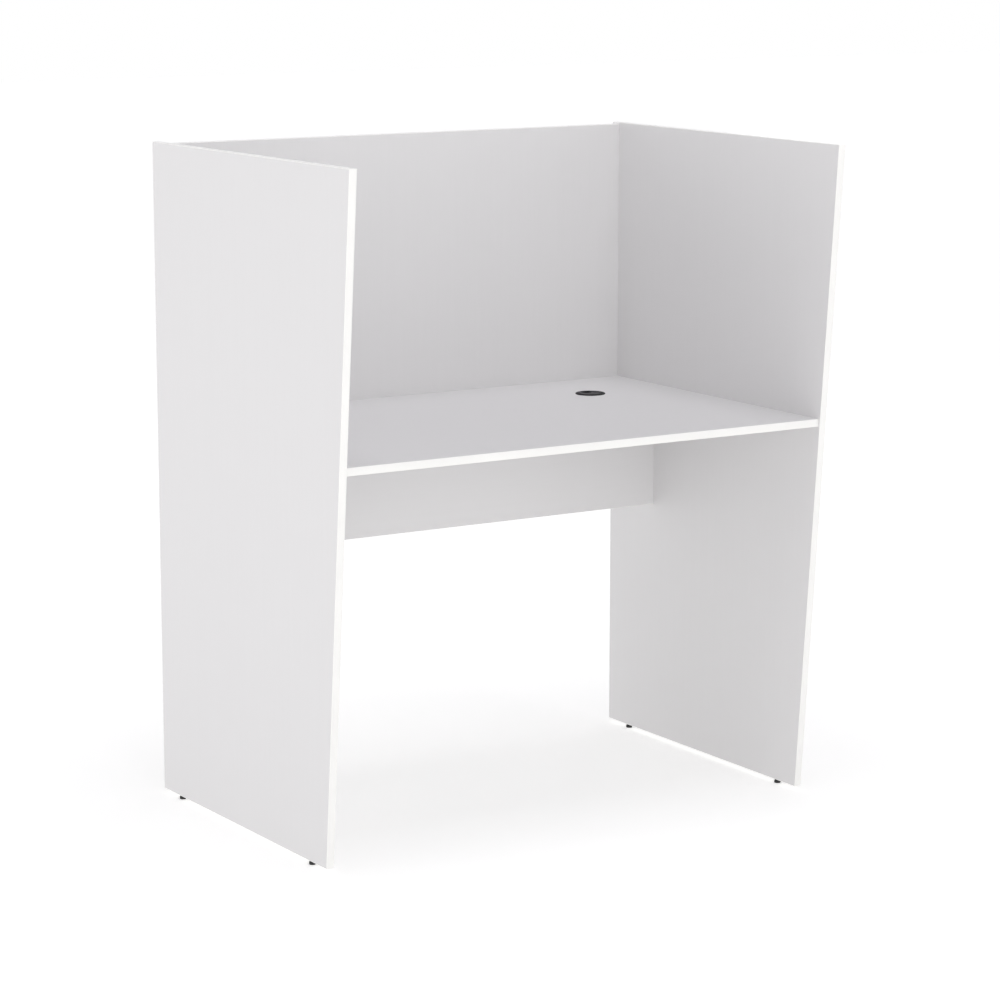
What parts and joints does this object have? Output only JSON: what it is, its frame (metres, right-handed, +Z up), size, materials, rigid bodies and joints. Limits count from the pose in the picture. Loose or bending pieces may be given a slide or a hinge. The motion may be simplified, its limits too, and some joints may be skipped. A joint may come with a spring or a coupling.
{
  "type": "study carrel",
  "caption": "White board study carrel: desktop between full-height tapered side panels, rear privacy screen, modesty panel, cable grommet and screw feet.",
  "frame": {"origin": "middle of the overall footprint, on the floor", "axes": "+X to the sitter's right, +Y from the open front to the rear screen, +Z up"},
  "size_m": [1.072, 0.76, 1.278],
  "materials": {
    "white_board": "white melamine-faced chipboard, smooth with a faint satin sheen",
    "white_strip": "white plastic edge strip, a little brighter and warmer than the faces",
    "white_cover": "white moulded plastic, satin",
    "zinc_cam": "die-cast zinc, dull grey",
    "steel_bolt": "bright zinc-plated steel",
    "steel_stud": "bright zinc-plated steel",
    "brass_insert": "turned brass",
    "beech_dowel": "plain beech",
    "black_foot": "black moulded nylon",
    "charcoal_grommet": "charcoal moulded plastic, fine grain"
  },
  "bodies": {
    "carcass": {"left_side_panel": "white_board", "left_side_rear_strip": "white_strip", "left_side_front_strip": "white_strip", "left_side_top_strip": "white_strip", "left_side_bottom_strip": "white_strip", "left_cam_bolts": "steel_bolt", "left_dowels": "beech_dowel", "left_front_foot_insert": "brass_insert", "left_rear_foot_insert": "brass_insert", "right_side_panel": "white_board", "right_side_rear_strip": "white_strip", "right_side_front_strip": "white_strip", "right_side_top_strip": "white_strip", "right_side_bottom_strip": "white_strip", "right_cam_bolts": "steel_bolt", "right_dowels": "beech_dowel", "right_front_foot_insert": "brass_insert", "right_rear_foot_insert": "brass_insert", "desktop": "white_board", "desktop_cams": "zinc_cam", "desktop_cam_covers": "white_cover", "rear_screen": "white_board", "screen_cams": "zinc_cam", "screen_cam_covers": "white_cover", "modesty_panel": "white_board", "modesty_cams": "zinc_cam", "modesty_cam_covers": "white_cover", "desktop_front_strip": "white_strip", "desktop_rear_strip": "white_strip", "rear_screen_top_strip": "white_strip", "modesty_bottom_strip": "white_strip", "screen_to_desk_cam_bolts": "steel_bolt", "screen_to_desk_dowels": "beech_dowel", "modesty_to_desk_cam_bolts": "steel_bolt", "modesty_to_desk_dowels": "beech_dowel", "grommet_sleeve": "charcoal_grommet"},
    "left_front_foot": {"left_front_foot_base": "black_foot", "left_front_foot_stud": "steel_stud"},
    "left_rear_foot": {"left_rear_foot_base": "black_foot", "left_rear_foot_stud": "steel_stud"},
    "right_front_foot": {"right_front_foot_base": "black_foot", "right_front_foot_stud": "steel_stud"},
    "right_rear_foot": {"right_rear_foot_base": "black_foot", "right_rear_foot_stud": "steel_stud"},
    "grommet_lid": {"grommet_lid": "charcoal_grommet"}
  },
  "joints": [
    {"name": "left_front_foot_height", "type": "slide", "parent": "carcass", "child": "left_front_foot", "axis": [0, 0, -1], "range_m": [0, 0.01]},
    {"name": "left_rear_foot_height", "type": "slide", "parent": "carcass", "child": "left_rear_foot", "axis": [0, 0, -1], "range_m": [0, 0.01]},
    {"name": "right_front_foot_height", "type": "slide", "parent": "carcass", "child": "right_front_foot", "axis": [0, 0, -1], "range_m": [0, 0.01]},
    {"name": "right_rear_foot_height", "type": "slide", "parent": "carcass", "child": "right_rear_foot", "axis": [0, 0, -1], "range_m": [0, 0.01]},
    {"name": "grommet_lid_lift", "type": "slide", "parent": "carcass", "child": "grommet_lid", "axis": [0, 0, 1], "range_m": [0, 0.04]}
  ]
}
